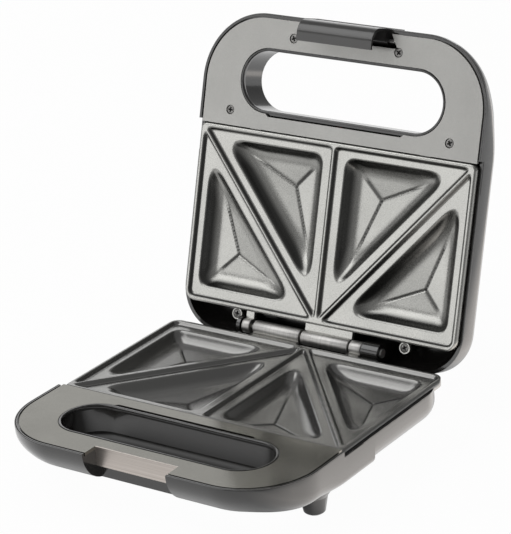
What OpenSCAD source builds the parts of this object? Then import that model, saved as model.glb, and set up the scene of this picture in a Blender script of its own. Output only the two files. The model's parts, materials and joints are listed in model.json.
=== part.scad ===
// Sandwich toaster: a hinged pair of shells, each with a cast cooking plate
// whose ridges and pockets press four filled triangles out of two sandwiches.
// The lid stands open, as when the toaster is loaded.
// +X is the right side, +Y the hinge side, +Z up; the toaster stands on z = 0.

/* [Shells] */
// Width over both side walls
body_w = 225; // [215:1:240]
// Reach of the handles in front of the cooking plates
handle_reach = 79.5; // [78:0.5:90]
// Depth of each shell from the parting plane to its flat back
shell_depth = 24; // [23:0.5:28]
// Wall thickness of the shells
wall = 2.4; // [1.8:0.1:3]
// Corner radius at the handles
front_corner_r = 49; // [44:1:52]
// Corner radius at the hinge side
rear_corner_r = 30; // [26:1:34]
// Width of the shell's lip round the handle panels
lip_w = 1.8; // [1.2:0.1:2.4]
// Width of the seam between lip and panel
seam_w = 1.2; // [0.6:0.1:1.5]

/* [Cooking plates] */
// Distance from a shell's side wall to the cooking plate, on each side
plate_gap = 3; // [2.6:0.1:6]
// Depth of the cooking plates, front to back
plate_d = 124.4; // [122:0.2:132]
// Height of rims and ridges above the lands
rim_h = 2.4; // [1.6:0.1:3.2]
// Width of the rim's flat top
rim_w = 2; // [1.4:0.1:3]
// Depth of the pockets' floor below the lands
pocket_d = 8; // [6:0.5:9]
// Extra depth of the pockets' middle
pocket_dip = 2; // [1:0.5:3]
// Thickness of the casting
cast_t = 3; // [2.4:0.1:3.6]
// Width of the land between rim and pocket
land_w = 9; // [7:0.5:11]

/* [Handles] */
// Thickness of the handle panels
panel_t = 2.2; // [1.6:0.1:2.8]
// Half length of the hand opening
grip_half = 79.9; // [70:0.1:82]
// Half width of the hand opening
grip_r = 21; // [18:0.5:22]
// Distance from the cooking plates to the middle of the hand opening
grip_y = 34; // [33:0.5:37]

/* [Hinge] */
// Distance of the hinge axis behind the cooking plates
hinge_gap = 10; // [9:0.5:14]
// Radius of the cast knuckles
knuckle_r = 5.1; // [4.4:0.1:5.6]
// Radius of the hinge pin
pin_r = 2; // [1.5:0.1:2.4]
// Sideways offset of the hinge
hinge_shift = -8.6; // [-14:0.1:4]
// Angle at which the open lid stands
lid_open = 107; // [95:1:110]

/* [Latch] */
// Width of the notch in the lower shell
notch_w = 64.4; // [56:0.2:68]
// Width of the latch
latch_w = 59; // [44:1:60]
// Thickness of the latch's wall
latch_t = 2.2; // [1.8:0.1:2.6]
// Height of the catch plate
catch_h = 13.2; // [11:0.1:14]
// Radius of the latch pin
latch_pin_r = 1.5; // [1.2:0.1:1.8]

/* [Feet] */
// Height of the parting plane above the table
parting_z = 42; // [40:0.5:50]
// Radius of a foot at the table
foot_r = 7.2; // [6:0.1:8]

/* [Hidden] */
$fn = 64;
fit = 0.05;                       // radial play of pins and screws
gap = 0.3;                        // play between pieces that only lie together
lip_top = -0.2;                   // lips and panels of both halves stay this far off the parting plane
lower_rim_z = -0.95;              // top of the lower cooking plate's rim
upper_rim_z = 0.65;               // the same in the lid, beyond the parting plane
lower_ledge_z = -3.6;             // shell's rim alongside the cooking plate
upper_ledge_z = -3.8;

half_w = body_w / 2;
plate_half = half_w - plate_gap;
plate_front = 0.6;
plate_back = plate_front + plate_d;
hinge_y = plate_back + hinge_gap;
corner_x = half_w - front_corner_r;
corner_y = front_corner_r - handle_reach;

// Edge radii: handles, shoulders beside the cooking plates, hinge end
lower_edge_r = shell_depth;
lid_edge_r = shell_depth - 1;
shoulder_edge_r = 11;
shoulder_r = 70;
shoulder_y = 25;
shoulder_end = 32;
rear_edge_r = 18;
rear_start = 20;
lower_back_y = plate_back + 2;
lid_back_y = hinge_y + 9;

lean = lid_open - 90;
lid_reach_y = hinge_y + (hinge_y + handle_reach - lid_edge_r) * sin(lean)
    + (shell_depth - lid_edge_r) * cos(lean) + lid_edge_r;
origin_y = (lid_reach_y - handle_reach) / 2;

panel_under = lip_top - panel_t;
panel_back = plate_front - 0.8;
ledge_run = 6;
ledge_t = 2.6;
tube_t = 2.4;
tube_lip = 0.9;                   // visible edge of the hand tube
floor_z = wall - shell_depth;
shield_z = floor_z + 2.8;
shield_t = 0.6;

land_drop = rim_h;
slab_t = land_drop + cast_t;
wall_run = 9;                     // inward run of the pockets' sloping walls
draft_run = rim_h * tan(30);      // inward run of the rims' sloping walls
edge_land_w = land_w + 3.4;
back_land_w = land_w + 5.6;

ear_x = half_w - 44.5;
ear_y = plate_back + 4.4;
ear_r = 4.2;
ear_drop = 6.5;
ear_t = 3;
tab_y = -5;
boss_hole_r = 1.3;
screw_r = boss_hole_r - fit;
head_r = 3;
head_h = 1.4;

foot_x = half_w - 19.1;
foot_front_y = -10.4;
foot_back = [half_w - 46.5, plate_back - 12];
foot_places = [[foot_x, foot_front_y], foot_back];
foot_top_r = foot_r + 1.8;
foot_flare_r = foot_r + 5.8;
pad_r = foot_r - 1.7;
pad_t = 1.6;
pad_proud = 0.4;

notch_y = 13 - handle_reach;
undercut_y = notch_y + 4.5;
catch_t = 1;
catch_low_z = lip_top - catch_h;
latch_half = latch_w / 2;
recess_front_half = latch_half + 5.5;
recess_back_half = latch_half + 11;
recess_y = notch_y - 0.5;
recess_front_y = 3 - handle_reach;
recess_top = 17;
latch_pin_y = 8.5 - handle_reach;
latch_pin_z = 8;
hook_low_z = catch_low_z - gap - 0.2;   // upper face of the hook's tooth
tooth_t = 1.7;
tooth_y = notch_y + 1.6;
latch_top = 14.2;
latch_boss_r = latch_pin_r + 2;
spring_half = 7;
spring_wire_r = 0.4;
recess_taper = (recess_back_half - recess_front_half) / (recess_y - recess_front_y);
latch_pin_half = recess_back_half - recess_taper * (recess_y - latch_pin_y) + tube_t - gap;

panel_boss_h = 1.5;
lid_screws = [[half_w - 25.1, -10.7], [recess_back_half + 1, 14.7 - handle_reach]];
lower_screws = [[half_w - 20.5, -38], [notch_w / 2 + 13.8, 14.5 - handle_reach]];

lower_long = [-38.5, -0.8];       // knuckle spans, measured from the hinge's middle
lower_short = [39.6, 48.7];
lid_short = [-47.9, -41.6];
lid_long = [0.8, 38.4];
lower_spans = [lower_long, lower_short];
lid_spans = [lid_short, lid_long];
lug_left = [-51.4, -48.7];
lug_right = [49.8, 62.6];
lug_r = knuckle_r + 0.9;
knuckle_bore = pin_r + fit;

heater_r = 3.25;
heater_drop = slab_t + fit + heater_r;       // heater's middle below the rim
boss_drop = heater_drop + heater_r + fit;    // ends of the plate's bosses below the rim
clip_t = 1;
clip_w = 7;
clip_side = 7.4;
shield_post_y = [plate_front + 25.4, plate_back - 27];
sensor_y = plate_back - 63;
sensor_screw = 11;
sensor_boss_h = 3;
terminal_x = -40;
inlet_z = -15;
cable_r = 2.9;
lamp_x = 12;
lamp_y = -4;
lens_r = 3.6;
lamp_holder_z = -11;
lamp_holder_half = 22;
lamp_r = 2;
block_y = lower_back_y - 14;
inlet_boss = 9;

black = "#1b1b1c";
panel_grey = "#a5a5a1";
cast_grey = "#a9a8a2";
steel = "#b8b2aa";

// ---------- Placing ----------

module in_base() translate([0, -origin_y, parting_z]) children();

// A lid piece is drawn like a base piece, depth downwards, then turned over and swung open
module in_lid()
    in_base() translate([0, hinge_y, 0]) rotate([-lid_open, 0, 0])
        translate([0, -hinge_y, 0]) mirror([0, 0, 1]) children();

module both_sides() for (side = [0, 1]) mirror([side, 0, 0]) children();

module along_x(span, r) translate([span[0], 0, 0]) rotate([0, 90, 0]) cylinder(h = span[1] - span[0], r = r);

// ---------- Plan outlines ----------

// The shells' outline seen from above, drawn in by inset, up to y = back
module plan(inset, back)
    intersection() {
        union() {
            both_sides() translate([corner_x, corner_y]) circle(r = front_corner_r - inset);
            translate([inset - half_w, corner_y]) square([2 * (half_w - inset), back - corner_y]);
            translate([-corner_x, inset - handle_reach]) square([2 * corner_x, front_corner_r]);
        }
        translate([-body_w, -body_w]) square([2 * body_w, body_w + back]);
    }

module grip_plan(grow)
    translate([0, -grip_y]) {
        both_sides() translate([grip_half - grip_r, 0]) circle(r = grip_r + grow);
        square([2 * (grip_half - grip_r), 2 * (grip_r + grow)], center = true);
    }

module round_box(x_half, y0, y1, r_front, r_back) {
    both_sides() {
        translate([x_half - r_front, y0 + r_front]) circle(r = r_front);
        translate([x_half - r_back, y1 - r_back]) circle(r = r_back);
    }
    translate([r_front - x_half, y0]) square([2 * (x_half - r_front), y1 - y0 - r_back]);
    translate([r_back - x_half, y1 - r_back - 1]) square([2 * (x_half - r_back), r_back + 1]);
    translate([-x_half, y0 + r_front]) square([2 * x_half, y1 - y0 - r_front - r_back]);
}

// ---------- Shell forms ----------

// Half section of a shell: a wall at radius r that turns into the flat back with radius edge
module section(r, edge, depth) {
    translate([0, -depth]) square([r - edge, depth]);
    translate([0, edge - depth]) square([r, depth - edge + 0.01]);
    intersection() {
        translate([r - edge, edge - depth]) circle(r = edge);
        translate([r - edge, -depth]) square([edge, edge]);
    }
}

module straight_part(x_half, y0, y1, edge, depth)
    translate([0, y1, 0]) rotate([90, 0, 0]) linear_extrude(y1 - y0) both_sides() section(x_half, edge, depth);

module front_part(inset, edge) {
    depth = shell_depth - inset;
    both_sides() translate([corner_x, corner_y, 0])
        rotate_extrude() section(front_corner_r - inset, edge - inset, depth);
    straight_part(half_w - inset, corner_y, rear_start + 10, edge - inset, depth);
    front_slab = front_corner_r - inset;
    translate([corner_x, corner_y, 0]) rotate([90, 0, -90]) linear_extrude(2 * corner_x) section(front_slab, edge - inset, depth);
}

module shoulder_part(inset) {
    depth = shell_depth - inset;
    intersection() {
        union() {
            both_sides() translate([half_w - shoulder_r, shoulder_y, 0])
                rotate_extrude() section(shoulder_r - inset, shoulder_edge_r - inset, depth);
            straight_part(half_w - inset, shoulder_y, shoulder_end - inset, shoulder_edge_r - inset, depth);
        }
        translate([-body_w, -handle_reach, -50]) cube([2 * body_w, handle_reach + shoulder_end - inset, 60]);
    }
}

module rear_part(inset, back) {
    depth = shell_depth - inset;
    edge = rear_edge_r - inset;
    x = half_w - rear_corner_r;
    y = back - rear_corner_r;
    both_sides() translate([x, y, 0]) rotate_extrude() section(rear_corner_r - inset, edge, depth);
    straight_part(half_w - inset, rear_start, y, edge, depth);
    translate([-x, y, 0]) rotate([90, 0, 90]) linear_extrude(2 * x) section(rear_corner_r - inset, edge, depth);
}

module lower_form(inset) {
    front_part(inset, lower_edge_r);
    shoulder_part(inset);
    rear_part(inset, lower_back_y);
}

module lid_form(inset) {
    front_part(inset, lid_edge_r);
    rear_part(inset, lid_back_y);
}

module above(z) translate([-body_w, -body_w, z]) cube([2 * body_w, 3 * body_w, 20]);

// Parts that both shells share: panel ledge, hand tube, posts of the heat shield and of the plate's tabs
module shell_inside() {
    translate([0, 0, panel_under - ledge_t]) linear_extrude(ledge_t) difference() {
        plan(lip_w, -2);
        plan(wall + ledge_run, -2);
    }
    translate([0, 0, -shell_depth]) linear_extrude(shell_depth + panel_under) grip_plan(tube_t);
    translate([0, 0, -shell_depth]) linear_extrude(shell_depth + lip_top) grip_plan(tube_lip);
    for (y = shield_post_y) translate([0, y, -shell_depth]) cylinder(h = shield_z + shell_depth, r = 3.5);
    both_sides() translate([ear_x, tab_y, -shell_depth])
        cylinder(h = shell_depth - slab_t - ear_t + lower_rim_z, r = ear_r);
}

// Cuts that both shells share: panel rabbet, space of the cooking plate, hand opening, screw holes
module shell_cuts(rim_z) {
    translate([0, 0, panel_under]) linear_extrude(10) difference() {
        plan(lip_w, 0);
        grip_plan(tube_lip);
    }
    translate([0, 0, rim_z - slab_t - 0.6]) linear_extrude(20)
        round_box(plate_half + 0.8, -0.3, plate_back + 0.6, 4.8, 8.8);
    translate([0, 0, -shell_depth - 1]) linear_extrude(shell_depth + 5) grip_plan(0);
    for (y = shield_post_y) translate([0, y, floor_z]) cylinder(h = 10, r = boss_hole_r);
    both_sides() translate([ear_x, tab_y, floor_z]) cylinder(h = 30, r = boss_hole_r);
}

// ---------- Screws ----------

// Cross-head screw, its head's top on the origin, pointing down
module screw(length) {
    difference() {
        translate([0, 0, -head_h]) cylinder(h = head_h, r = head_r);
        for (turn = [0, 90]) rotate([0, 0, turn]) translate([-1.7, -0.4, -0.8]) cube([3.4, 0.8, 2]);
    }
    translate([0, 0, -head_h - length]) cylinder(h = length, r = screw_r);
}

// ---------- Cooking plates ----------

// Corner where two edges of a triangle meet when each has moved in by its own distance
function side_normal(p, q) = [p[1] - q[1], q[0] - p[0]] / norm(q - p);
function meet(n, c, m, d) = [c * m[1] - d * n[1], n[0] * d - m[0] * c] / (n[0] * m[1] - n[1] * m[0]);
function drawn_in(t, d) = [for (i = [0:2])
    let (before = (i + 2) % 3, after = (i + 1) % 3,
        n = side_normal(t[before], t[i]), m = side_normal(t[i], t[after]))
    meet(n, n * t[i] + d[before], m, m * t[i] + d[i])];
function incentre(t) =
    let (a = norm(t[1] - t[2]), b = norm(t[2] - t[0]), c = norm(t[0] - t[1]))
    (a * t[0] + b * t[1] + c * t[2]) / (a + b + c);

// Right-hand half of a plate: one triangle by the middle ridge, one by the side, corners anticlockwise
inner_third = [[0, plate_front], [plate_half, plate_front], [0, plate_back]];
outer_third = [[plate_half, plate_front], [plate_half, plate_back], [0, plate_back]];
inner_land = drawn_in(inner_third, [rim_w, rim_w / 2, rim_w / 2]);
outer_land = drawn_in(outer_third, [rim_w, rim_w, rim_w / 2]);
inner_pocket = drawn_in(inner_third, [edge_land_w, land_w, edge_land_w]);
outer_pocket = drawn_in(outer_third, [edge_land_w, back_land_w, land_w]);

function at_z(t, z) = [for (p = t) [p[0], p[1], z]];
function all_in(t, d) = drawn_in(t, [d, d, d]);

// Shallow tray between rims and ridges
module land_tray(t, rim_z)
    polyhedron(concat(at_z(all_in(t, -draft_run / rim_h), rim_z + 1), at_z(all_in(t, draft_run), rim_z - rim_h)),
        [[2, 1, 0], [3, 4, 5], [0, 1, 4, 3], [1, 2, 5, 4], [2, 0, 3, 5]]);

// Sandwich pocket: sloping walls and a three-sided floor that dips to the middle
module pocket(t, land_z, grow) {
    slope = wall_run / pocket_d;
    top = 1;
    floor_points = at_z(all_in(t, wall_run - grow), land_z - pocket_d - grow);
    middle = incentre(t);
    polyhedron(concat(at_z(all_in(t, -slope * top - grow), land_z + (grow > 0 ? -0.5 : top)), floor_points,
            [[middle[0], middle[1], land_z - pocket_d - pocket_dip - grow]]),
        [[2, 1, 0], [3, 4, 6], [4, 5, 6], [5, 3, 6],
            [0, 1, 4], [0, 4, 3], [1, 2, 5], [1, 5, 4], [2, 0, 3], [2, 3, 5]]);
}

// Ear or tab of a plate on both sides, joined to the slab at y = edge
module ears(y, edge, rim_z, drop) {
    low = rim_z - drop - ear_t;
    inner = edge > hinge_y / 2 ? edge - 3 : edge;
    both_sides() difference() {
        union() {
            translate([ear_x, y, low]) cylinder(h = ear_t, r = ear_r);
            translate([ear_x - ear_r, min(y, edge), low]) cube([2 * ear_r, abs(edge - y), ear_t]);
            translate([ear_x - ear_r, inner, low]) cube([2 * ear_r, 3, rim_z - slab_t + 1 - low]);
        }
        translate([ear_x, y, low - 1]) cylinder(h = ear_t + 2, r = boss_hole_r + 0.2);
        translate([ear_x, y, low + ear_t - head_h]) cylinder(h = head_h + 5, r = head_r + 0.2);
    }
}

// Hinge knuckles with their webs to the plate's back edge
module knuckles(spans, rim_z) {
    web_low = rim_z - slab_t + 1;
    for (span = spans) {
        moved = [span[0] + hinge_shift, span[1] + hinge_shift];
        translate([0, hinge_y, 0]) along_x(moved, knuckle_r);
        translate([moved[0], plate_back - 2, web_low]) cube([span[1] - span[0], hinge_y - plate_back + 2, cast_t + 0.4]);
    }
}

module knuckle_bores(spans)
    for (span = spans)
        translate([0, hinge_y, 0]) along_x([span[0] + hinge_shift - 1, span[1] + hinge_shift + 1], knuckle_bore);

// Middle of a diagonal ridge on the right-hand side, and the direction along it
diagonal = [-plate_half, plate_d] / norm([plate_half, plate_d]);
function on_diagonal(share) = [plate_half * (1 - share), plate_front + plate_d * share];
clip_places = [0.32, 0.68];

module clip_pairs()
    both_sides() for (share = clip_places, side = [-1, 1]) {
        p = on_diagonal(share) + clip_side * side * [diagonal[1], -diagonal[0]];
        translate([p[0], p[1], 0]) children();
    }

module sensor_bosses(rim_z)
    for (y = [-sensor_screw, sensor_screw]) translate([0, sensor_y + y, rim_z - slab_t - sensor_boss_h]) children();

module plate(spans, rim_z) {
    land_z = rim_z - land_drop;
    color(cast_grey) difference() {
        union() {
            difference() {
                union() {
                    translate([0, 0, rim_z - slab_t]) linear_extrude(slab_t)
                        round_box(plate_half, plate_front, plate_back, 4, 8);
                    both_sides() {
                        pocket(inner_pocket, land_z, cast_t);
                        pocket(outer_pocket, land_z, cast_t);
                    }
                }
                both_sides() {
                    land_tray(inner_land, rim_z);
                    land_tray(outer_land, rim_z);
                    pocket(inner_pocket, land_z, 0);
                    pocket(outer_pocket, land_z, 0);
                }
            }
            translate([0, 0, rim_z - boss_drop]) clip_pairs() cylinder(h = boss_drop - slab_t + 0.5, r = 2.6);
            if (spans == lid_spans) sensor_bosses(rim_z) cylinder(h = sensor_boss_h + 1, r = 2.8);
            knuckles(spans, rim_z);
            ears(ear_y, plate_back, rim_z, ear_drop);
            ears(tab_y, plate_front, rim_z, slab_t);
        }
        knuckle_bores(spans);
        if (spans == lid_spans) translate([0, 0, -1]) sensor_bosses(rim_z) cylinder(h = sensor_boss_h + 2, r = boss_hole_r);
        translate([0, 0, rim_z - boss_drop - 1]) clip_pairs() cylinder(h = 6, r = boss_hole_r);
        other_knuckles(spans == lower_spans ? lid_spans : lower_spans);
    }
}

// Room for the other plate's knuckles as they turn
module other_knuckles(spans)
    for (span = spans)
        translate([0, hinge_y, 0]) along_x([span[0] + hinge_shift - 0.4, span[1] + hinge_shift + 0.4], knuckle_r + 1);

// ---------- Heating ----------

// Tube that runs along the front edge and up both diagonals, with a bend at each front corner
heater_front_y = plate_front + 6.4;
heater_bend = 20;                 // run of a bend on either side of its corner
heater_corner = [plate_half * (1 - (heater_front_y - plate_front) / plate_d), heater_front_y];
function bend(a, c, b, n) = [for (i = [0:n]) let (t = i / n) (1 - t) * (1 - t) * a + 2 * t * (1 - t) * c + t * t * b];
heater_right = concat(bend(heater_corner - [heater_bend, 0], heater_corner, heater_corner + heater_bend * diagonal, 6),
    [on_diagonal(0.9)]);
heater_path = concat([for (i = [len(heater_right) - 1:-1:0]) [-heater_right[i][0], heater_right[i][1]]], heater_right);

function unit(v) = v / norm(v);
function square_to(path, i) =
    let (a = unit(path[max(i, 1)] - path[max(i, 1) - 1]),
        b = unit(path[min(i, len(path) - 2) + 1] - path[min(i, len(path) - 2)]), m = unit(a + b))
    [m[1], -m[0]] / (m * a);

// Round tube of radius r along a path in the plane
module tube(path, r) {
    ring = 16;
    last = len(path) - 1;
    points = [for (i = [0:last], j = [0:ring - 1])
        let (b = 360 * j / ring, n = square_to(path, i)) [each path[i] + r * cos(b) * n, r * sin(b)]];
    sides = [for (i = [0:last - 1], j = [0:ring - 1]) let (k = (j + 1) % ring)
        each [[i * ring + j, i * ring + k, (i + 1) * ring + k], [i * ring + j, (i + 1) * ring + k, (i + 1) * ring + j]]];
    caps = [[for (j = [ring - 1:-1:0]) j], [for (j = [0:ring - 1]) last * ring + j]];
    polyhedron(points, concat(sides, caps));
}

module heater(rim_z)
    color("#3b3a3c") translate([0, 0, rim_z - heater_drop]) {
        tube(heater_path, heater_r);
        both_sides() translate([on_diagonal(0.9)[0], on_diagonal(0.9)[1], 0])
            rotate([0, 0, atan2(diagonal[1], diagonal[0])]) rotate([0, 90, 0])
                translate([0, 0, -2]) cylinder(h = 9, r = 1.2);
    }

module heater_clips(rim_z)
    color(steel) translate([0, 0, rim_z - boss_drop - clip_t]) difference() {
        both_sides() for (share = clip_places) {
            p = on_diagonal(share);
            translate([p[0], p[1], 0]) rotate([0, 0, atan2(diagonal[1], diagonal[0]) - 90])
                translate([-clip_side - 3.4, -clip_w / 2, 0]) cube([2 * clip_side + 6.8, clip_w, clip_t]);
        }
        translate([0, 0, -1]) clip_pairs() cylinder(h = 3, r = boss_hole_r + 0.2);
    }

module clip_screws(rim_z)
    color("#6d6b67") translate([0, 0, rim_z - boss_drop - clip_t]) clip_pairs()
        mirror([0, 0, 1]) {
            cylinder(h = head_h, r = 2.4);
            translate([0, 0, -4.5]) cylinder(h = 4.6, r = screw_r);
        }

// Sheet below the heater, with room for the feet of the plates' ears
module heat_shield()
    color("#c9c7c2") difference() {
        translate([0, 0, shield_z]) linear_extrude(shield_t)
            round_box(plate_half - 22, plate_front + 9, plate_back - 16, 10, 10);
        for (y = shield_post_y) translate([0, y, shield_z - 1]) cylinder(h = 4, r = boss_hole_r + 0.2);
    }

module shield_screws()
    color("#6d6b67") for (y = shield_post_y)
        translate([0, y, shield_z + shield_t + head_h]) screw(shield_z - floor_z - 0.4 + shield_t);

module plate_screws(rim_z)
    color("#4a4a4c") both_sides() {
        translate([ear_x, ear_y, rim_z - ear_drop]) screw(8);
        translate([ear_x, tab_y, rim_z - slab_t]) screw(8);
    }

// ---------- Handle panels ----------

// Dark slot along the hand opening's edge towards the plates
slot = [20.9 - grip_half, grip_half - 26.9, grip_r - grip_y + 1, grip_r - grip_y + 3.4];
module slot_plan() polygon([[slot[0], slot[2] - 1], [slot[1], slot[2] - 1], [slot[1], slot[2]], [slot[1] - 3, slot[3]],
    [slot[0] + 3, slot[3]], [slot[0], slot[2]]]);

module panel_plate()
    translate([0, 0, panel_under]) linear_extrude(panel_t) difference() {
        plan(lip_w + seam_w, panel_back);
        grip_plan(tube_lip + 0.6);
        slot_plan();
    }

module lower_panel()
    color("#87857c") {
        difference() {
            union() {
                panel_plate();
                both_sides() for (p = lower_screws) translate([p[0], p[1], panel_under - 6]) cylinder(h = 6.5, r = 3);
            }
            translate([-notch_w / 2, -handle_reach - 5, -10]) cube([notch_w, handle_reach + 5 + notch_y + catch_t, 20]);
            both_sides() for (p = lower_screws)
                translate([p[0], p[1], panel_under - 7]) cylinder(h = 7 + panel_t / 2, r = boss_hole_r);
        }
    }

// Hollow for the latch in the lid's front, narrower towards the front
module recess_plan(grow) {
    front_half = recess_back_half - recess_taper * (recess_y + handle_reach + 5) + grow;
    back_half = recess_back_half + grow;
    polygon([[-back_half, recess_y + grow], [back_half, recess_y + grow],
        [front_half, -handle_reach - 5], [-front_half, -handle_reach - 5]]);
}

module upper_panel()
    color(panel_grey) difference() {
        union() {
            panel_plate();
            both_sides() for (p = lid_screws)
                translate([p[0], p[1], panel_under - panel_boss_h]) cylinder(h = panel_boss_h + 0.5, r = head_r + 0.6);
        }
        translate([0, 0, -10]) linear_extrude(20) recess_plan(0);
        both_sides() for (p = lid_screws) translate([p[0], p[1], 0]) {
            translate([0, 0, panel_under - panel_boss_h - 1]) cylinder(h = 10, r = boss_hole_r + 0.2);
            translate([0, 0, lip_top - 0.2 - head_h]) cylinder(h = 10, r = head_r + 0.3);
        }
    }

module lower_panel_screws()
    color("#4a4a4c") both_sides() for (p = lower_screws)
        translate([p[0], p[1], panel_under - 6 - wall - head_h]) mirror([0, 0, 1]) screw(wall + 5.4);

module upper_panel_screws()
    color("#4a4a4c") both_sides() for (p = lid_screws)
        translate([p[0], p[1], lip_top - 0.2]) screw(8);

// ---------- Lower shell ----------

module foot()
    translate([0, 0, pad_proud - parting_z]) {
        low = parting_z - pad_proud - shell_depth;
        rounding = 1.6;
        rotate_extrude() {
            square([foot_r - rounding, low]);
            translate([foot_r - rounding, rounding]) circle(r = rounding);
            polygon([[0, rounding], [foot_r, rounding], [foot_top_r, low - 6], [foot_flare_r, low],
                [foot_flare_r, low + 5], [0, low + 5]]);
        }
    }

// Tubes for the screws that come up from below
module panel_posts()
    both_sides() for (p = lower_screws)
        translate([p[0], p[1], -shell_depth]) cylinder(h = shell_depth + panel_under - 6, r = 5);

module lower_shell()
    color(black) difference() {
        union() {
            difference() {
                union() {
                    lower_form(0);
                    both_sides() for (p = foot_places) translate([p[0], p[1], 0]) foot();
                }
                lower_form(wall);
            }
            intersection() {
                lower_form(0);
                union() {
                    shell_inside();
                    panel_posts();
                    translate([-notch_w / 2 - tube_t, -handle_reach, -shell_depth])
                        cube([notch_w + 2 * tube_t, handle_reach + undercut_y + tube_t, shell_depth + panel_under]);
                    translate([slot[0] - 1, slot[2], panel_under - 4]) cube([slot[1] - slot[0] + 2, 6, 3]);
                    translate([terminal_x - 10, block_y - 4, -shell_depth]) cube([28, 8, 6]);
                }
            }
            both_sides() translate([ear_x, ear_y, -shell_depth])
                cylinder(h = shell_depth + lower_rim_z - ear_drop - ear_t, r = ear_r);
            translate([terminal_x, lower_back_y - inlet_boss, inlet_z]) rotate([-90, 0, 0])
                cylinder(h = inlet_boss, r = 6.8);
        }
        above(lip_top);
        translate([-body_w, -2, lower_ledge_z]) cube([2 * body_w, 300, 20]);
        shell_cuts(lower_rim_z);
        // Notch for the latch, with the undercut for its tooth
        translate([-notch_w / 2, -handle_reach - 5, -shell_depth - 1])
            cube([notch_w, handle_reach + 5 + notch_y + catch_t, shell_depth + 5]);
        translate([-notch_w / 2, notch_y, -shell_depth - 1])
            cube([notch_w, undercut_y - notch_y, shell_depth + 1 + catch_low_z]);
        // Back wall lowered below the knuckles and ears
        translate([-ear_x, lower_back_y - 5, lower_rim_z - slab_t - 1]) cube([2 * ear_x, 14, 20]);
        both_sides() {
            translate([ear_x - ear_r - 1, lower_back_y - 6, lower_rim_z - ear_drop - ear_t])
                cube([2 * ear_r + 2, 20, 20]);
            translate([ear_x, ear_y, lower_rim_z - ear_drop - ear_t - 9]) cylinder(h = 20, r = boss_hole_r);
            for (p = lower_screws) translate([p[0], p[1], -shell_depth - 1]) {
                cylinder(h = 40, r = boss_hole_r + 0.2);
                cylinder(h = shell_depth + 1 + panel_under - 6 - wall, r = head_r + 0.4);
            }
            for (p = foot_places) translate([p[0], p[1], -parting_z]) cylinder(h = pad_t, r = pad_r + fit);
        }
        translate([terminal_x, lower_back_y - 10, inlet_z]) rotate([-90, 0, 0]) cylinder(h = 20, r = 4);
    }

module foot_pads()
    color("#2a2a2a") both_sides() for (p = foot_places)
        translate([p[0], p[1], -parting_z]) cylinder(h = pad_t, r = pad_r);

module catch_plate()
    color(steel) translate([-notch_w / 2 + fit, notch_y, catch_low_z])
        cube([notch_w - 2 * fit, catch_t, catch_h]);

module hinge_pin() {
    ends = [lug_left[0] + hinge_shift, lug_right[1] + hinge_shift];
    color("#cfcdc8") translate([0, hinge_y, 0]) {
        along_x([ends[0] - gap, ends[1] + gap], pin_r);
        along_x([ends[0] - gap - 1.2, ends[0] - gap], pin_r + 1.2);
        along_x([ends[1] + gap, ends[1] + gap + 1.2], pin_r + 1.2);
    }
}

// ---------- Wiring ----------

module terminal_block()
    color("#d8d5cb") difference() {
        translate([terminal_x - 10, block_y - 4, -shell_depth + 6]) cube([28, 8, 7]);
        for (x = [-4, 4, 12]) translate([terminal_x + x, block_y, -shell_depth + 7]) cylinder(h = 8, r = boss_hole_r + 0.5);
    }

module terminal_screws()
    color("#c9b46a") for (x = [-4, 4, 12])
        translate([terminal_x + x, block_y, -shell_depth + 7]) {
            cylinder(h = 6, r = boss_hole_r + 0.45);
        }

module thermal_fuse()
    color("#d9d6cf") translate([0, block_y + 2, lower_rim_z - slab_t - 2.05]) {
        along_x([24, 40], 2);
        along_x([20, 44], 0.5);
    }
module inlet_bush()
    color("#262626") translate([terminal_x, lower_back_y, inlet_z]) rotate([-90, 0, 0]) difference() {
        union() {
            translate([0, 0, -inlet_boss]) cylinder(h = inlet_boss + 1, r = 4 - fit);
            cylinder(h = 1.5, r = 5.6);
        }
        translate([0, 0, -20]) cylinder(h = 40, r = cable_r);
    }

// ---------- Lid ----------

// Bosses round the hinge pin's ends, moulded into the lid
module hinge_lugs()
    for (span = [lug_left, lug_right]) {
        moved = [span[0] + hinge_shift, span[1] + hinge_shift];
        translate([0, hinge_y, 0]) along_x(moved, lug_r);
        intersection() {
            lid_form(0);
            translate([moved[0], hinge_y - lug_r, -shell_depth]) cube([span[1] - span[0], 2 * lug_r, shell_depth]);
        }
    }

module lid_posts()
    both_sides() {
        for (p = lid_screws) translate([p[0], p[1], -shell_depth]) cylinder(h = shell_depth + panel_under - panel_boss_h, r = head_r + 0.6);
        translate([ear_x, ear_y, -shell_depth])
            cylinder(h = shell_depth + upper_rim_z - ear_drop - ear_t, r = ear_r);
    }

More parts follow.
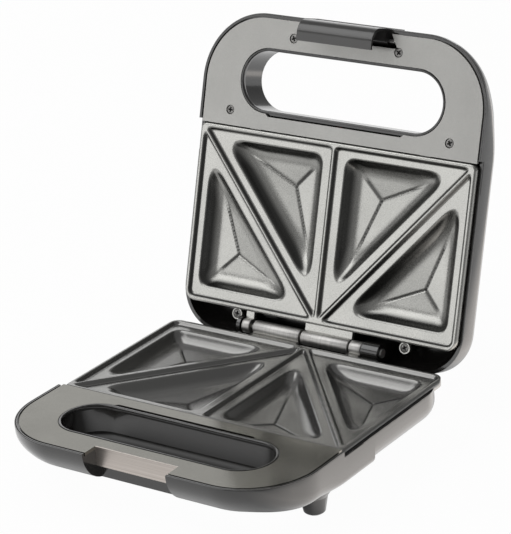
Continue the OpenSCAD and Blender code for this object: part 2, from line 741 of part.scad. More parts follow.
module upper_shell()
    color(black) difference() {
        union() {
            difference() {
                union() {
                    difference() {
                        lid_form(0);
                        lid_form(wall);
                    }
                    intersection() {
                        lid_form(0);
                        union() {
                            shell_inside();
                            lid_posts();
                            translate([0, 0, -shell_depth]) linear_extrude(shell_depth + panel_under) recess_plan(tube_t);
                            for (x = [2.5 - lamp_holder_half, lamp_holder_half - 2.5])
                                translate([x, lamp_y, -shell_depth]) cylinder(h = shell_depth + lamp_holder_z, r = 2.4);
                        }
                    }
                }
                above(lip_top);
                translate([-body_w, -2, upper_ledge_z]) cube([2 * body_w, 300, 20]);
                shell_cuts(upper_rim_z);
                translate([0, 0, -recess_top]) linear_extrude(30) recess_plan(0);
            }
            hinge_lugs();
        }
        translate([0, latch_pin_y, -latch_pin_z]) along_x([-latch_pin_half, latch_pin_half], latch_pin_r + fit);
        translate([0, hinge_y, 0]) along_x([-body_w, body_w], knuckle_bore);
        both_sides() {
            translate([ear_x, ear_y, upper_rim_z - ear_drop - ear_t - 9]) cylinder(h = 20, r = boss_hole_r);
            for (p = lid_screws) translate([p[0], p[1], panel_under - panel_boss_h]) {
                translate([0, 0, -6.5]) cylinder(h = 20, r = boss_hole_r);
                cylinder(h = 20, r = head_r + 0.9);
            }
            translate([lamp_x, lamp_y, -shell_depth - 1]) cylinder(h = 10, r = lens_r + fit);
        }
    }

module thermostat()
    color("#b9b6ae") translate([0, sensor_y, upper_rim_z - slab_t]) difference() {
        union() {
            translate([0, 0, -9]) cylinder(h = 9, r = 7);
            translate([-3, -sensor_screw - 3, -sensor_boss_h - 1]) cube([6, 2 * sensor_screw + 6, 1]);
        }
        for (y = [-sensor_screw, sensor_screw]) translate([0, y, -20]) cylinder(h = 30, r = boss_hole_r + 0.2);
    }

module thermostat_screws()
    color("#6d6b67") for (y = [-sensor_screw, sensor_screw])
        translate([0, sensor_y + y, upper_rim_z - slab_t - sensor_boss_h - 1]) mirror([0, 0, 1]) {
            cylinder(h = head_h, r = 2.4);
            translate([0, 0, -sensor_boss_h - 0.5]) cylinder(h = sensor_boss_h + 0.6, r = screw_r);
        }

module lamp_holder()
    color("#e2dfd6") translate([0, lamp_y, lamp_holder_z]) difference() {
        translate([-lamp_holder_half, -3.5, 0]) cube([2 * lamp_holder_half, 7, 3]);
        both_sides() translate([lamp_x, 0, -1]) cylinder(h = 5, r = lamp_r + fit);
    }

module lamp(side, tint)
    color(tint) translate([side * lamp_x, lamp_y, 0]) {
        translate([0, 0, lamp_holder_z - 6.5]) cylinder(h = 8.5, r = lamp_r);
        translate([0, 0, lamp_holder_z - 6.5]) sphere(r = lamp_r);
    }

module lens(side, tint) {
    rise = 0.9;
    dome_r = (lens_r * lens_r + rise * rise) / (2 * rise);
    color(tint) translate([side * lamp_x, lamp_y, -shell_depth]) {
        cylinder(h = wall, r = lens_r);
        translate([0, 0, wall]) cylinder(h = 1, r = lens_r + 1.2);
        intersection() {
            translate([0, 0, dome_r - rise]) sphere(r = dome_r);
            translate([0, 0, -rise]) cylinder(h = rise, r = lens_r);
        }
    }
}

// ---------- Latch ----------

// Side view of the hook, closed: y across, z down
module latch_side() {
    front = -handle_reach;
    bend = 9;
    low = -hook_low_z + tooth_t;
    difference() {
        union() {
            translate([front, -latch_top]) square([latch_pin_y - 0.5 - front, latch_top + 3]);
            intersection() {
                translate([front + bend, low - bend]) circle(r = bend);
                translate([front, low - bend]) square([bend, bend]);
            }
            translate([front, 0]) square([bend, low - bend]);
            translate([front + bend, low - bend]) square([tooth_y - front - bend, bend]);
        }
        translate([front + bend, low - bend]) circle(r = bend - latch_t);
        translate([front + latch_t, 3]) square([bend - latch_t, low - bend - 3]);
        translate([front + bend, low - bend - 1]) square([20, bend + 1 - tooth_t]);
        translate([front + latch_t, -1.5]) square([20, 8]);
        // Front face follows the lid's rounded edge
        difference() {
            translate([front - 5, -30]) square([30, 29]);
            translate([lid_edge_r - handle_reach, -1]) circle(r = lid_edge_r);
        }
    }
}

module latch()
    color("#3a3a3b") difference() {
        union() {
            translate([-latch_half, 0, 0]) rotate([90, 0, 90]) linear_extrude(latch_w) latch_side();
            translate([0, latch_pin_y, -latch_pin_z]) along_x([-latch_half, latch_half], latch_boss_r);
        }
        translate([0, latch_pin_y, -latch_pin_z]) {
            along_x([-body_w, body_w], latch_pin_r + fit);
            along_x([-spring_half - gap, spring_half + gap], latch_boss_r + 0.2);
        }
    }

// Torsion spring on the latch's pin: a helix of round wire
module latch_spring() {
    turns = 7;
    ring = 6;
    steps = 12 * turns;
    coil_r = latch_pin_r + spring_wire_r + 0.15;
    points = [for (i = [0:steps], j = [0:ring - 1])
        let (a = 360 * turns * i / steps, b = 360 * j / ring, r = coil_r + spring_wire_r * cos(b))
        [2 * spring_half * (i / steps - 0.5) + spring_wire_r * sin(b), r * cos(a), r * sin(a)]];
    sides = [for (i = [0:steps - 1], j = [0:ring - 1]) let (k = (j + 1) % ring)
        each [[i * ring + j, i * ring + k, (i + 1) * ring + k], [i * ring + j, (i + 1) * ring + k, (i + 1) * ring + j]]];
    caps = [[for (j = [ring - 1:-1:0]) j], [for (j = [0:ring - 1]) steps * ring + j]];
    color("#b9b9b6") translate([0, latch_pin_y, -latch_pin_z]) polyhedron(points, concat(sides, caps));
}

module latch_pin()
    color("#cfcdc8") translate([0, latch_pin_y, -latch_pin_z]) along_x([gap - latch_pin_half, latch_pin_half - gap], latch_pin_r);

in_base() lower_shell();
in_base() lower_panel();
in_base() plate(lower_spans, lower_rim_z);  // lower_plate
in_base() heater(lower_rim_z);  // lower_heater
in_base() heater_clips(lower_rim_z);  // lower_heater_clips
in_base() clip_screws(lower_rim_z);  // lower_clip_screws
in_base() heat_shield();  // lower_heat_shield
in_base() shield_screws();  // lower_shield_screws
in_base() plate_screws(lower_rim_z);  // lower_plate_screws
in_base() lower_panel_screws();
in_base() catch_plate();
in_base() foot_pads();
in_base() hinge_pin();
in_base() terminal_block();
in_base() terminal_screws();
in_base() thermal_fuse();
in_base() inlet_bush();
in_lid() upper_shell();
in_lid() upper_panel();
in_lid() plate(lid_spans, upper_rim_z);  // upper_plate
in_lid() heater(upper_rim_z);  // upper_heater
in_lid() heater_clips(upper_rim_z);  // upper_heater_clips
in_lid() clip_screws(upper_rim_z);  // upper_clip_screws
in_lid() heat_shield();  // upper_heat_shield
in_lid() shield_screws();  // upper_shield_screws
in_lid() plate_screws(upper_rim_z);  // upper_plate_screws
in_lid() upper_panel_screws();
in_lid() thermostat();
in_lid() thermostat_screws();
in_lid() lamp_holder();
in_lid() lamp(-1, "#e9b8a0");  // power_lamp
in_lid() lamp(1, "#bfe0b4");  // ready_lamp
in_lid() lens(-1, "#b3261e");  // power_lens
in_lid() lens(1, "#2f8f3a");  // ready_lens
in_lid() latch_pin();
in_lid() latch_spring();
in_lid() latch();
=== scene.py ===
import json
import math
import bpy
import numpy as np
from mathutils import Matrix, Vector


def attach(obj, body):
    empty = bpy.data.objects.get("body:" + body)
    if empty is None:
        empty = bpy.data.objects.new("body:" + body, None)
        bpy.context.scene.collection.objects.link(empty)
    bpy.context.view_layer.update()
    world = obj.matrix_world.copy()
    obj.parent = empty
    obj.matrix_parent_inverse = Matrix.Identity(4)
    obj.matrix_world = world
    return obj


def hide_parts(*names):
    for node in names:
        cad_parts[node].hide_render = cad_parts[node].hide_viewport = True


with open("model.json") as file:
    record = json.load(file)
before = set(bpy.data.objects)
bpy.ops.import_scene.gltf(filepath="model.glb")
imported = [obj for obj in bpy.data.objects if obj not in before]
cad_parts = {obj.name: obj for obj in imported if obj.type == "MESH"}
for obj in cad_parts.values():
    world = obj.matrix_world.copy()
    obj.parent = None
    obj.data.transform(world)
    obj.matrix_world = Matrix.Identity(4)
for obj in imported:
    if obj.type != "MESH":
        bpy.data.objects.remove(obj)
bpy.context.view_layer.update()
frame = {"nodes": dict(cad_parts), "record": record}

nodes = frame["nodes"]
print("frame loaded:", len(nodes), "CAD nodes")

# Where the two halves stand. Shapes are worked out in millimetres as if the toaster were closed: x to the
# right, y back from the cooking plates' front edge, z up from the parting plane
pose = {"midY": 67.7225, "partingZ": 42.0, "hingeY": 135.0, "lidOpen": 107.0}


# Base: moved so that the toaster stands on z = 0, then millimetres to metres
def inBase(points):
    return (points + np.array([0.0, -pose["midY"], pose["partingZ"]])) / 1000.0


# Lid: turned over (z changes sign), then swung back about the hinge by the opening angle
def inLid(points):
    angle = math.radians(pose["lidOpen"])
    forward, up = points[:, 1] - pose["hingeY"], -points[:, 2]
    swung = np.empty_like(points)
    swung[:, 0] = points[:, 0]
    swung[:, 1] = pose["hingeY"] + forward * math.cos(angle) + up * math.sin(angle)
    swung[:, 2] = -forward * math.sin(angle) + up * math.cos(angle)
    return inBase(swung)


# A shader socket that can be added, multiplied and so on in Python
class Wire:
    def __init__(self, finish, socket):
        self.finish = finish
        self.socket = socket

    def maths(self, operation, *values, clamp=False):
        return self.finish.node("ShaderNodeMath", {"operation": operation, "use_clamp": clamp}, *values)

    def __add__(self, other):
        return self.maths("ADD", self, other)

    def __radd__(self, other):
        return self.maths("ADD", other, self)

    def __sub__(self, other):
        return self.maths("SUBTRACT", self, other)

    def __rsub__(self, other):
        return self.maths("SUBTRACT", other, self)

    def __mul__(self, other):
        return self.maths("MULTIPLY", self, other)

    # The value without its sign
    def size(self):
        return self.maths("ABSOLUTE", self)

    # The greater of the two
    def orMore(self, other):
        return self.maths("MAXIMUM", self, other)

    # 0 below low, 1 above high, straight between
    def ramp(self, low, high):
        return self.maths("MULTIPLY", self - low, 1.0 / (high - low), clamp=True)


# A material with one Principled shader; fixed holds values of its sockets that are the same all over
class Finish:
    def __init__(self, name, fixed):
        self.material = bpy.data.materials.new(name)
        self.material.use_nodes = True
        self.tree = self.material.node_tree
        self.tree.nodes.clear()
        self.shader = self.tree.nodes.new("ShaderNodeBsdfPrincipled")
        self.output = self.tree.nodes.new("ShaderNodeOutputMaterial")
        self.tree.links.new(self.shader.outputs[0], self.output.inputs["Surface"])
        self.material.diffuse_color = fixed["Base Color"]
        for socket, value in fixed.items():
            self.shader.inputs[socket].default_value = value
        self.where = None

    # Any node: its settings first, then values or wires for its sockets, by number or by name. None leaves a
    # socket as it is, and out says which output is handed back
    def node(self, kind, settings, *values, out=0, **named):
        made = self.tree.nodes.new(kind)
        for key, value in settings.items():
            setattr(made, key, value)
        for key, value in list(enumerate(values)) + list(named.items()):
            if isinstance(value, Wire):
                self.tree.links.new(value.socket, made.inputs[key])
            elif value is not None:
                made.inputs[key].default_value = value
        return Wire(self, made.outputs[out])

    def feed(self, name, wire):
        self.tree.links.new(wire.socket, self.shader.inputs[name])

    # Object coordinates, in metres, in the toaster's own frame
    def place(self):
        if self.where is None:
            self.where = self.node("ShaderNodeTexCoord", {}, out="Object")
        return self.where

    def stretched(self, x, y, z):
        return self.node("ShaderNodeMapping", {}, Vector=self.place(), Scale=(x, y, z))

    def noise(self, scale, detail, roughness=0.5, where=None):
        return self.node("ShaderNodeTexNoise", {}, Vector=where or self.place(), Scale=scale,
                         Detail=detail, Roughness=roughness)

    # Small cells, each with one grey of its own
    def flecks(self, scale):
        cells = self.node("ShaderNodeTexVoronoi", {"feature": "F1"}, Vector=self.place(), Scale=scale,
                          out="Color")
        return self.node("ShaderNodeRGBToBW", {}, cells)

    # A value the mesh carries at each of its points
    def carried(self, name):
        return self.node("ShaderNodeAttribute", {"attribute_name": name}, out="Fac")

    # The mix node's inputs 6 and 7 are its two colours, and its output 2 is their mix
    def blend(self, factor, first, second):
        return self.node("ShaderNodeMix", {"data_type": "RGBA"}, factor, *[None] * 5, first, second, out=2)

    def bump(self, height, strength, distance):
        self.feed("Normal", self.node("ShaderNodeBump", {}, Strength=strength, Distance=distance,
                                      Height=height))


def rgba(red, green, blue):
    return (red, green, blue, 1.0)


def shaded(colour, share):
    return tuple(share * value for value in colour[:3]) + (1.0,)


# In the dictionaries of the finishes, patterns are noise scales (more is finer) and ranges are where a ramp
# starts and ends. Tone, Gloss, Metal and Bump say how far a pattern moves each, and less what is taken off,
# so that the mean stays
plasticSkin = {
    "cloud": 22.0, "cloudRange": (0.35, 0.7), "cloudTone": 0.7, "cloudGloss": 0.05,
    "scuff": 140.0, "scuffStretch": (1.0, 6.0, 3.0), "scuffRange": (0.52, 0.74), "scuffTone": 0.3,
    "scuffGloss": 0.06, "grain": 2600.0, "grainGloss": 0.03, "coatGloss": 0.06, "bump": 0.25,
    "depth": 0.00002,
}


# Moulded plastic: colour drifts a little, dust and fine scuffs change the gloss, grain in the bump
def mouldedPlastic(name, dark, light, gloss, coat=0.0, ior=1.5):
    skin = plasticSkin
    finish = Finish(name, {"Base Color": dark, "Roughness": gloss, "IOR": ior, "Coat Weight": coat,
                           "Coat Roughness": skin["coatGloss"], "Coat IOR": ior})
    cloud = finish.noise(skin["cloud"], 4.0)
    grain = finish.noise(skin["grain"], 2.0)
    scuff = finish.noise(skin["scuff"], 5.0, 0.65, finish.stretched(*skin["scuffStretch"]))
    scuff = scuff.ramp(*skin["scuffRange"])
    tone = cloud.ramp(*skin["cloudRange"]) * skin["cloudTone"] + scuff * skin["scuffTone"]
    finish.feed("Base Color", finish.blend(tone, dark, light))
    finish.feed("Roughness", gloss + cloud * skin["cloudGloss"] + scuff * skin["scuffGloss"]
                + grain * skin["grainGloss"])
    finish.bump(grain, skin["bump"], skin["depth"])
    return finish.material


flakeSkin = {
    "flake": 5200.0, "flakeRange": (0.1, 0.9), "flakeTone": 0.75, "flakeGloss": 0.07, "flakeMetal": 0.15,
    "flakeBump": 0.3, "cloud": 35.0, "cloudRange": (0.3, 0.7), "cloudTone": 0.25,
    "peel": 480.0, "peelGloss": 0.08, "peelBump": 0.7, "lessGloss": 0.07, "lessMetal": 0.07,
    "bump": 0.35, "depth": 0.00003,
}


# Sprayed metallic coat: flakes of two greys under a satin skin, orange peel in the bump
def flakeCoat(name, dark, light, gloss, metal):
    skin = flakeSkin
    finish = Finish(name, {"Base Color": light, "Roughness": gloss, "Metallic": metal})
    flakes = finish.flecks(skin["flake"])
    cloud = finish.noise(skin["cloud"], 4.0)
    peel = finish.noise(skin["peel"], 3.0)
    tone = flakes.ramp(*skin["flakeRange"]) * skin["flakeTone"]
    tone = tone + cloud.ramp(*skin["cloudRange"]) * skin["cloudTone"]
    finish.feed("Base Color", finish.blend(tone, dark, light))
    finish.feed("Roughness", gloss + peel * skin["peelGloss"] + flakes * skin["flakeGloss"]
                - skin["lessGloss"])
    finish.feed("Metallic", metal + flakes * skin["flakeMetal"] - skin["lessMetal"])
    finish.bump(peel * skin["peelBump"] + flakes * skin["flakeBump"], skin["bump"], skin["depth"])
    return finish.material


brushedSkin = {
    "streakRange": (0.3, 0.7), "streakTone": 0.7, "streakGloss": 0.14,
    "cloud": 60.0, "cloudTone": 0.3, "cloudGloss": 0.06, "lessGloss": 0.1, "bump": 0.4, "depth": 0.00002,
}


# Brushed or drawn metal: long streaks across one axis; along is how finely the noise is cut on each axis
def brushedMetal(name, dark, light, gloss, along=(4.0, 900.0, 900.0)):
    skin = brushedSkin
    finish = Finish(name, {"Base Color": light, "Roughness": gloss, "Metallic": 1.0})
    streak = finish.noise(1.0, 3.0, 0.6, finish.stretched(*along))
    cloud = finish.noise(skin["cloud"], 3.0)
    tone = streak.ramp(*skin["streakRange"]) * skin["streakTone"] + cloud * skin["cloudTone"]
    finish.feed("Base Color", finish.blend(tone, dark, light))
    finish.feed("Roughness", gloss + streak * skin["streakGloss"] + cloud * skin["cloudGloss"]
                - skin["lessGloss"])
    finish.bump(streak, skin["bump"], skin["depth"])
    return finish.material


clearSkin = {
    "through": 0.7, "ior": 1.48, "cloud": 900.0, "cloudRange": (0.3, 0.7), "cloudTone": 0.4,
    "cloudGloss": 0.08, "darkShare": 0.7, "bump": 0.2, "depth": 0.00002,
}


# Clear tinted plastic or glass
def clearTint(name, tint, gloss):
    skin = clearSkin
    finish = Finish(name, {"Base Color": tint, "Roughness": gloss, "Transmission Weight": skin["through"],
                           "IOR": skin["ior"]})
    cloud = finish.noise(skin["cloud"], 3.0)
    finish.feed("Roughness", gloss + cloud * skin["cloudGloss"])
    tone = cloud.ramp(*skin["cloudRange"]) * skin["cloudTone"]
    finish.feed("Base Color", finish.blend(tone, tint, shaded(tint, skin["darkShare"])))
    finish.bump(cloud, skin["bump"], skin["depth"])
    return finish.material


castSkin = {
    "flake": 3300.0, "flakeRange": (0.15, 0.85), "flakeTone": 0.45, "flakeGloss": 0.1, "flakeMetal": 0.2,
    "flakeBump": 0.4, "fine": 6400.0, "fineRange": (0.1, 0.9), "fineTone": 0.3,
    "cloud": 30.0, "cloudRange": (0.3, 0.7), "cloudTone": 0.25,
    "skin": 1700.0, "skinGloss": 0.06, "skinBump": 0.6, "lessGloss": 0.06, "lessMetal": 0.1,
    "wallShadeRange": (0.25, 0.72), "creaseShadeRange": (0.15, 0.85), "creaseShadeColour": rgba(0.02, 0.02, 0.02),
    "bump": 0.3, "depth": 0.00003,
}


# The casting's coat: flakes of two greys, with painted shade on top: steep walls are painted darker, down to
# the last argument's share of the dark grey, and the pressed creases of the pockets are painted near black
def castCoat(name, dark, light, gloss, metal, wallShade):
    look = castSkin
    finish = Finish(name, {"Base Color": light, "Roughness": gloss, "Metallic": metal})
    flakes = finish.flecks(look["flake"])
    fine = finish.flecks(look["fine"])
    cloud = finish.noise(look["cloud"], 4.0)
    skin = finish.noise(look["skin"], 2.0)
    tone = flakes.ramp(*look["flakeRange"]) * look["flakeTone"]
    tone = tone + fine.ramp(*look["fineRange"]) * look["fineTone"]
    tone = tone + cloud.ramp(*look["cloudRange"]) * look["cloudTone"]
    # Painted shade: the steeper the wall, the darker it is painted
    wallShadeMask = finish.carried("steep").ramp(*look["wallShadeRange"])
    coat = finish.blend(wallShadeMask, finish.blend(tone, dark, light), shaded(dark, wallShade))
    # Painted shade: along the creases the colour is painted near black
    creaseShadeMask = finish.carried("crease").ramp(*look["creaseShadeRange"])
    finish.feed("Base Color", finish.blend(creaseShadeMask, coat, look["creaseShadeColour"]))
    finish.feed("Roughness", gloss + flakes * look["flakeGloss"] + skin * look["skinGloss"]
                - look["lessGloss"])
    finish.feed("Metallic", metal + flakes * look["flakeMetal"] - look["lessMetal"])
    finish.bump(flakes * look["flakeBump"] + skin * look["skinBump"], look["bump"], look["depth"])
    return finish.material


finishes = {
    "black_plastic": mouldedPlastic(
        "shellBlack", rgba(0.012, 0.0112, 0.0105), rgba(0.02, 0.0185, 0.017), 0.16, coat=0.5, ior=1.55),
    "latch_plastic": mouldedPlastic(
        "latchGrey", rgba(0.03, 0.029, 0.028), rgba(0.045, 0.044, 0.043), 0.3, coat=0.5),
    "upper_panel_coat": flakeCoat(
        "lidPanelSilver", rgba(0.325, 0.322, 0.308), rgba(0.46, 0.456, 0.437), 0.32, 0.5),
    "lower_panel_coat": flakeCoat(
        "basePanelSilver", rgba(0.135, 0.131, 0.116), rgba(0.215, 0.21, 0.188), 0.12, 0.88),
    # Its last number is the painted shade on steep walls: they go down to 0.2 of the dark grey
    "coated_casting": castCoat(
        "nonStickCoat", rgba(0.33, 0.33, 0.315), rgba(0.53, 0.525, 0.50), 0.24, 0.9, 0.2),
    "heater_sheath": brushedMetal("heaterSheath", rgba(0.03, 0.03, 0.032), rgba(0.09, 0.085, 0.08), 0.5),
    "zinc_steel": brushedMetal(
        "zincSteel", rgba(0.38, 0.38, 0.37), rgba(0.62, 0.62, 0.6), 0.35, (300.0, 300.0, 300.0)),
    "bright_aluminium": brushedMetal("brightSheet", rgba(0.6, 0.6, 0.6), rgba(0.82, 0.82, 0.81), 0.28),
    "dark_screw": brushedMetal(
        "darkScrew", rgba(0.06, 0.06, 0.06), rgba(0.22, 0.22, 0.21), 0.36, (700.0, 700.0, 700.0)),
    "brushed_catch": brushedMetal(
        "brushedCatch", rgba(0.40, 0.36, 0.33), rgba(0.66, 0.605, 0.56), 0.32, (6.0, 900.0, 1500.0)),
    "rubber_pad": mouldedPlastic("footRubber", rgba(0.02, 0.02, 0.02), rgba(0.035, 0.035, 0.034), 0.7),
    "bright_pin": brushedMetal(
        "brightPin", rgba(0.35, 0.345, 0.335), rgba(0.53, 0.52, 0.505), 0.42, (1200.0, 3.0, 3.0)),
    "pale_plastic": mouldedPlastic("palePlastic", rgba(0.66, 0.63, 0.56), rgba(0.75, 0.73, 0.68), 0.5),
    "brass_terminal": brushedMetal("terminalBrass", rgba(0.5, 0.36, 0.12), rgba(0.72, 0.56, 0.26), 0.3),
    "lamp_glass": clearTint("lampGlass", rgba(0.95, 0.8, 0.66), 0.05),
    "red_lens": clearTint("redLens", rgba(0.62, 0.03, 0.025), 0.1),
    "green_lens": clearTint("greenLens", rgba(0.05, 0.42, 0.1), 0.1),
}
for part in frame["record"]["subparts"]:
    mesh = nodes[part["node"]].data
    mesh.materials.clear()
    mesh.materials.append(finishes[part["material_slot"]])
print("finishes:", len(finishes))


# A mesh from points (metres) and faces, shaded smooth but for edges sharper than the given angle; attributes
# holds values for each point that its finish reads
def solidPiece(name, points, faces, slot, body, sharp=38.0, attributes=None):
    mesh = bpy.data.meshes.new(name)
    mesh.from_pydata(points.tolist(), [], faces.tolist() if isinstance(faces, np.ndarray) else faces)
    for key, values in (attributes or {}).items():
        mesh.attributes.new(key, "FLOAT", "POINT").data.foreach_set("value", values.astype(np.float32))
    mesh.validate()
    mesh.shade_smooth()
    mesh.set_sharp_from_angle(angle=math.radians(sharp))
    mesh.materials.append(finishes[slot])
    piece = bpy.data.objects.new(name, mesh)
    bpy.context.scene.collection.objects.link(piece)
    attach(piece, body)
    return piece


# Quads between the rows and columns of a grid of points; closed joins the last column to the first
def gridFaces(rows, columns, closed=False):
    along = np.arange(columns if closed else columns - 1)
    row, column = np.meshgrid(np.arange(rows - 1), along, indexing="ij")
    following = (column + 1) % columns
    corner = row * columns
    return np.stack([corner + column, corner + following, corner + columns + following,
                     corner + columns + column], axis=-1).reshape(-1, 4)


# Several closed shapes put together as one mesh. Placing the lid's shapes mirrors them, so turned reverses
# their faces
def gathered(shapes, turned):
    points, faces, start = [], [], 0
    for shapePoints, shapeFaces in shapes:
        points.append(shapePoints)
        faces += [[index + start for index in face] for face in shapeFaces]
        start += len(shapePoints)
    return np.concatenate(points), [face[::-1] for face in faces] if turned else faces


# The smaller of two values, rounded over a span k where they meet: min - (k - |a - b|)^2 / 4k
def softMin(a, b, k):
    near = np.maximum(k - np.abs(a - b), 0.0)
    return np.minimum(a, b) - near * near / (4.0 * k)


# The greater of two values, rounded in the same way
def softMax(a, b, k):
    return -softMin(-a, -b, k)


# 0 below low, 1 above high, and between them the S curve t^2 (3 - 2t), where t runs from 0 to 1
def smooth(value, low, high):
    t = np.clip((value - low) / (high - low), 0.0, 1.0)
    return t * t * (3.0 - 2.0 * t)


# Cooking plates. Lands are the flat widths beside the rims, runs are how far a slope reaches, and blends are
# the spans over which two slopes run into each other
plate = {
    "half": 109.5, "front": 0.6, "back": 125.0, "frontCorner": 4.0, "backCorner": 8.0,
    "rim": 2.0, "rimHeight": 2.4, "rimRun": 1.25, "rimTop": 0.3, "rimFoot": 0.35, "rimBlend": 3.4,
    "outlineBlend": 3.0, "edgeLand": 9.3, "backLand": 11.0, "land": 8.4,
    "pocketDepth": 8.0, "wallRun": 12.8, "wallBend": 3.3, "brimBlend": 0.07, "squareBlend": 8.0,
    "tipBlend": 14.0, "dip": 2.3, "floorStart": 7.0, "floorRun": 16.0, "floorStop": 1.2,
    "creaseWidth": 0.75, "creaseDepth": 0.7, "creaseStart": 10.0, "creaseFade": 4.0,
    "edgeRound": 0.8, "edgeFall": 0.5, "thickness": 3.0, "cell": 0.8, "sharp": 60.0,
    "lowerRim": -0.95, "lidRim": 0.65,
}
slab = plate["rimHeight"] + plate["thickness"]


def cornerRadius(y):
    return np.where(y < 0.5 * (plate["front"] + plate["back"]), plate["frontCorner"], plate["backCorner"])


# Distance inward from the outline, a box with rounded corners; points outside are negative
def insideOutline(x, y):
    centre = 0.5 * (plate["front"] + plate["back"])
    radius = cornerRadius(y)
    acrossX = np.abs(x) - (plate["half"] - radius)
    acrossY = np.abs(y - centre) - (0.5 * (plate["back"] - plate["front"]) - radius)
    outside = np.hypot(np.maximum(acrossX, 0.0), np.maximum(acrossY, 0.0))
    return radius - outside - np.minimum(np.maximum(acrossX, acrossY), 0.0)


# Height of the casting's cooking side, 0 at the rims' top: each half is cut by a diagonal ridge into two
# triangles. With d the distances from a triangle's three sides, a rim falls to the land over rimRun. The
# pocket's wall falls by pocketDepth (1 - (1 - t)^wallBend), where t is the least d past the lands over
# wallRun. The floor goes on down by dip with the least d, so that three faces meet in creases at the
# triangle's bisectors, and along these a crease of creaseDepth exp(-((second d - least d) / creaseWidth)^2)
# is pressed in
def cookingSide(x, y):
    across = np.abs(x)
    ends = np.array([plate["half"], plate["back"] - plate["front"]])
    diagonal = (across * ends[1] + (y - plate["front"]) * ends[0] - ends[0] * ends[1]) / np.hypot(*ends)
    inner = diagonal < 0.0
    sides = [np.where(inner, y - plate["front"], plate["half"] - across),
             np.where(inner, across, plate["back"] - y), np.abs(diagonal)]
    rims = [plate["rim"], np.where(inner, plate["rim"] / 2, plate["rim"]), plate["rim"] / 2]
    lands = [plate["edgeLand"], np.where(inner, plate["edgeLand"], plate["backLand"]), plate["land"]]
    toRim = softMin(sides[0] - rims[0], sides[1] - rims[1], plate["rimBlend"])
    toRim = softMin(toRim, sides[2] - rims[2], plate["rimBlend"])
    toRim = softMin(toRim, insideOutline(x, y) - plate["rim"], plate["outlineBlend"])
    fall = softMin(softMax(toRim / plate["rimRun"], 0.0, plate["rimTop"]), 1.0, plate["rimFoot"])
    pastLand = [side - land for side, land in zip(sides, lands)]
    toWall = softMin(softMin(pastLand[0], pastLand[1], plate["squareBlend"]), pastLand[2], plate["tipBlend"])
    inward = softMax(toWall / plate["wallRun"], 0.0, plate["brimBlend"])
    drop = 1.0 - np.clip(1.0 - inward, 0.0, 1.0) ** plate["wallBend"]
    least, second = np.sort(np.stack(pastLand), axis=0)[:2]
    floor = np.clip((least - plate["floorStart"]) / plate["floorRun"], 0.0, plate["floorStop"])
    crease = np.exp(-((second - least) / plate["creaseWidth"]) ** 2)
    crease = crease * np.clip((least - plate["creaseStart"]) / plate["creaseFade"], 0.0, 1.0)
    pocket = plate["pocketDepth"] * drop + plate["dip"] * floor + plate["creaseDepth"] * crease
    return -plate["rimHeight"] * fall - pocket, pocket, crease


# A casting: a grid over the cooking side whose rows draw in round the outline's corners, by
# r - sqrt(r^2 - over^2) where a row lies over into a corner of radius r. Its edge is rounded down by
# edgeFall (1 - inside / edgeRound)^2. The underside lies a slab's depth below the rims' top and follows the
# pockets. The points carry the crease and steep, the sine of the slope, slope / sqrt(1 + slope^2)
def castPlate(name, rimZ, place, body, turned):
    rows = int((plate["back"] - plate["front"]) / plate["cell"]) + 1
    columns = int(2 * plate["half"] / plate["cell"]) + 1
    v = np.linspace(plate["front"], plate["back"], rows)[:, None]
    u = np.linspace(-1.0, 1.0, columns)[None, :]
    radius = cornerRadius(v)
    over = np.clip(radius - np.minimum(v - plate["front"], plate["back"] - v), 0.0, radius)
    x = u * (plate["half"] - (radius - np.sqrt(np.maximum(radius ** 2 - over ** 2, 0.0))))
    y = np.broadcast_to(v, x.shape)
    height, pocket, crease = cookingSide(x, y)
    nearEdge = np.clip(1.0 - insideOutline(x, y) / plate["edgeRound"], 0.0, 1.0)
    height = height - plate["edgeFall"] * nearEdge ** 2
    top = np.stack([x, y, rimZ + height], axis=-1).reshape(-1, 3)
    low = np.stack([x, y, rimZ - slab - pocket], axis=-1).reshape(-1, 3)
    count = rows * columns
    faces = gridFaces(rows, columns)
    edge = np.concatenate([np.arange(columns), np.arange(1, rows) * columns + columns - 1,
                           (rows - 1) * columns + np.arange(columns - 2, -1, -1),
                           np.arange(rows - 2, 0, -1) * columns])
    following = np.roll(edge, -1)
    skirt = np.stack([edge + count, following + count, following, edge], axis=-1)
    faces = np.concatenate([faces, faces[:, ::-1] + count, skirt])
    if turned:
        faces = faces[:, ::-1]
    slope = np.hypot(np.gradient(height, axis=1) / np.gradient(x, axis=1),
                     np.gradient(height, axis=0) / np.gradient(y, axis=0))
    steep = slope / np.sqrt(1.0 + slope ** 2)
    underside = np.zeros(count)
    # The finish reads crease and steep to paint shade: near black in the creases, darker on the steep walls
    marks = {"crease": np.concatenate([crease.ravel(), underside]),
             "steep": np.concatenate([steep.ravel(), underside])}
    points = place(np.concatenate([top, low]))
    return solidPiece(name, points, faces, "coated_casting", body, plate["sharp"], marks)


# A bar turned on a lathe: radius against place along x, closed at both ends
def turnedBar(profile, around):
    stations = np.array(profile)
    angle = np.linspace(0.0, 2 * math.pi, around, endpoint=False)
    rings = np.stack([np.repeat(stations[:, :1], around, 1), stations[:, 1:] * np.cos(angle),
                      stations[:, 1:] * np.sin(angle)], axis=-1)
    points = rings.reshape(-1, 3)
    faces = gridFaces(len(stations), around, closed=True)[:, ::-1].tolist()
    start, end = list(range(around - 1, -1, -1)), list(range(len(points) - around, len(points)))
    return points, faces + [start, end]


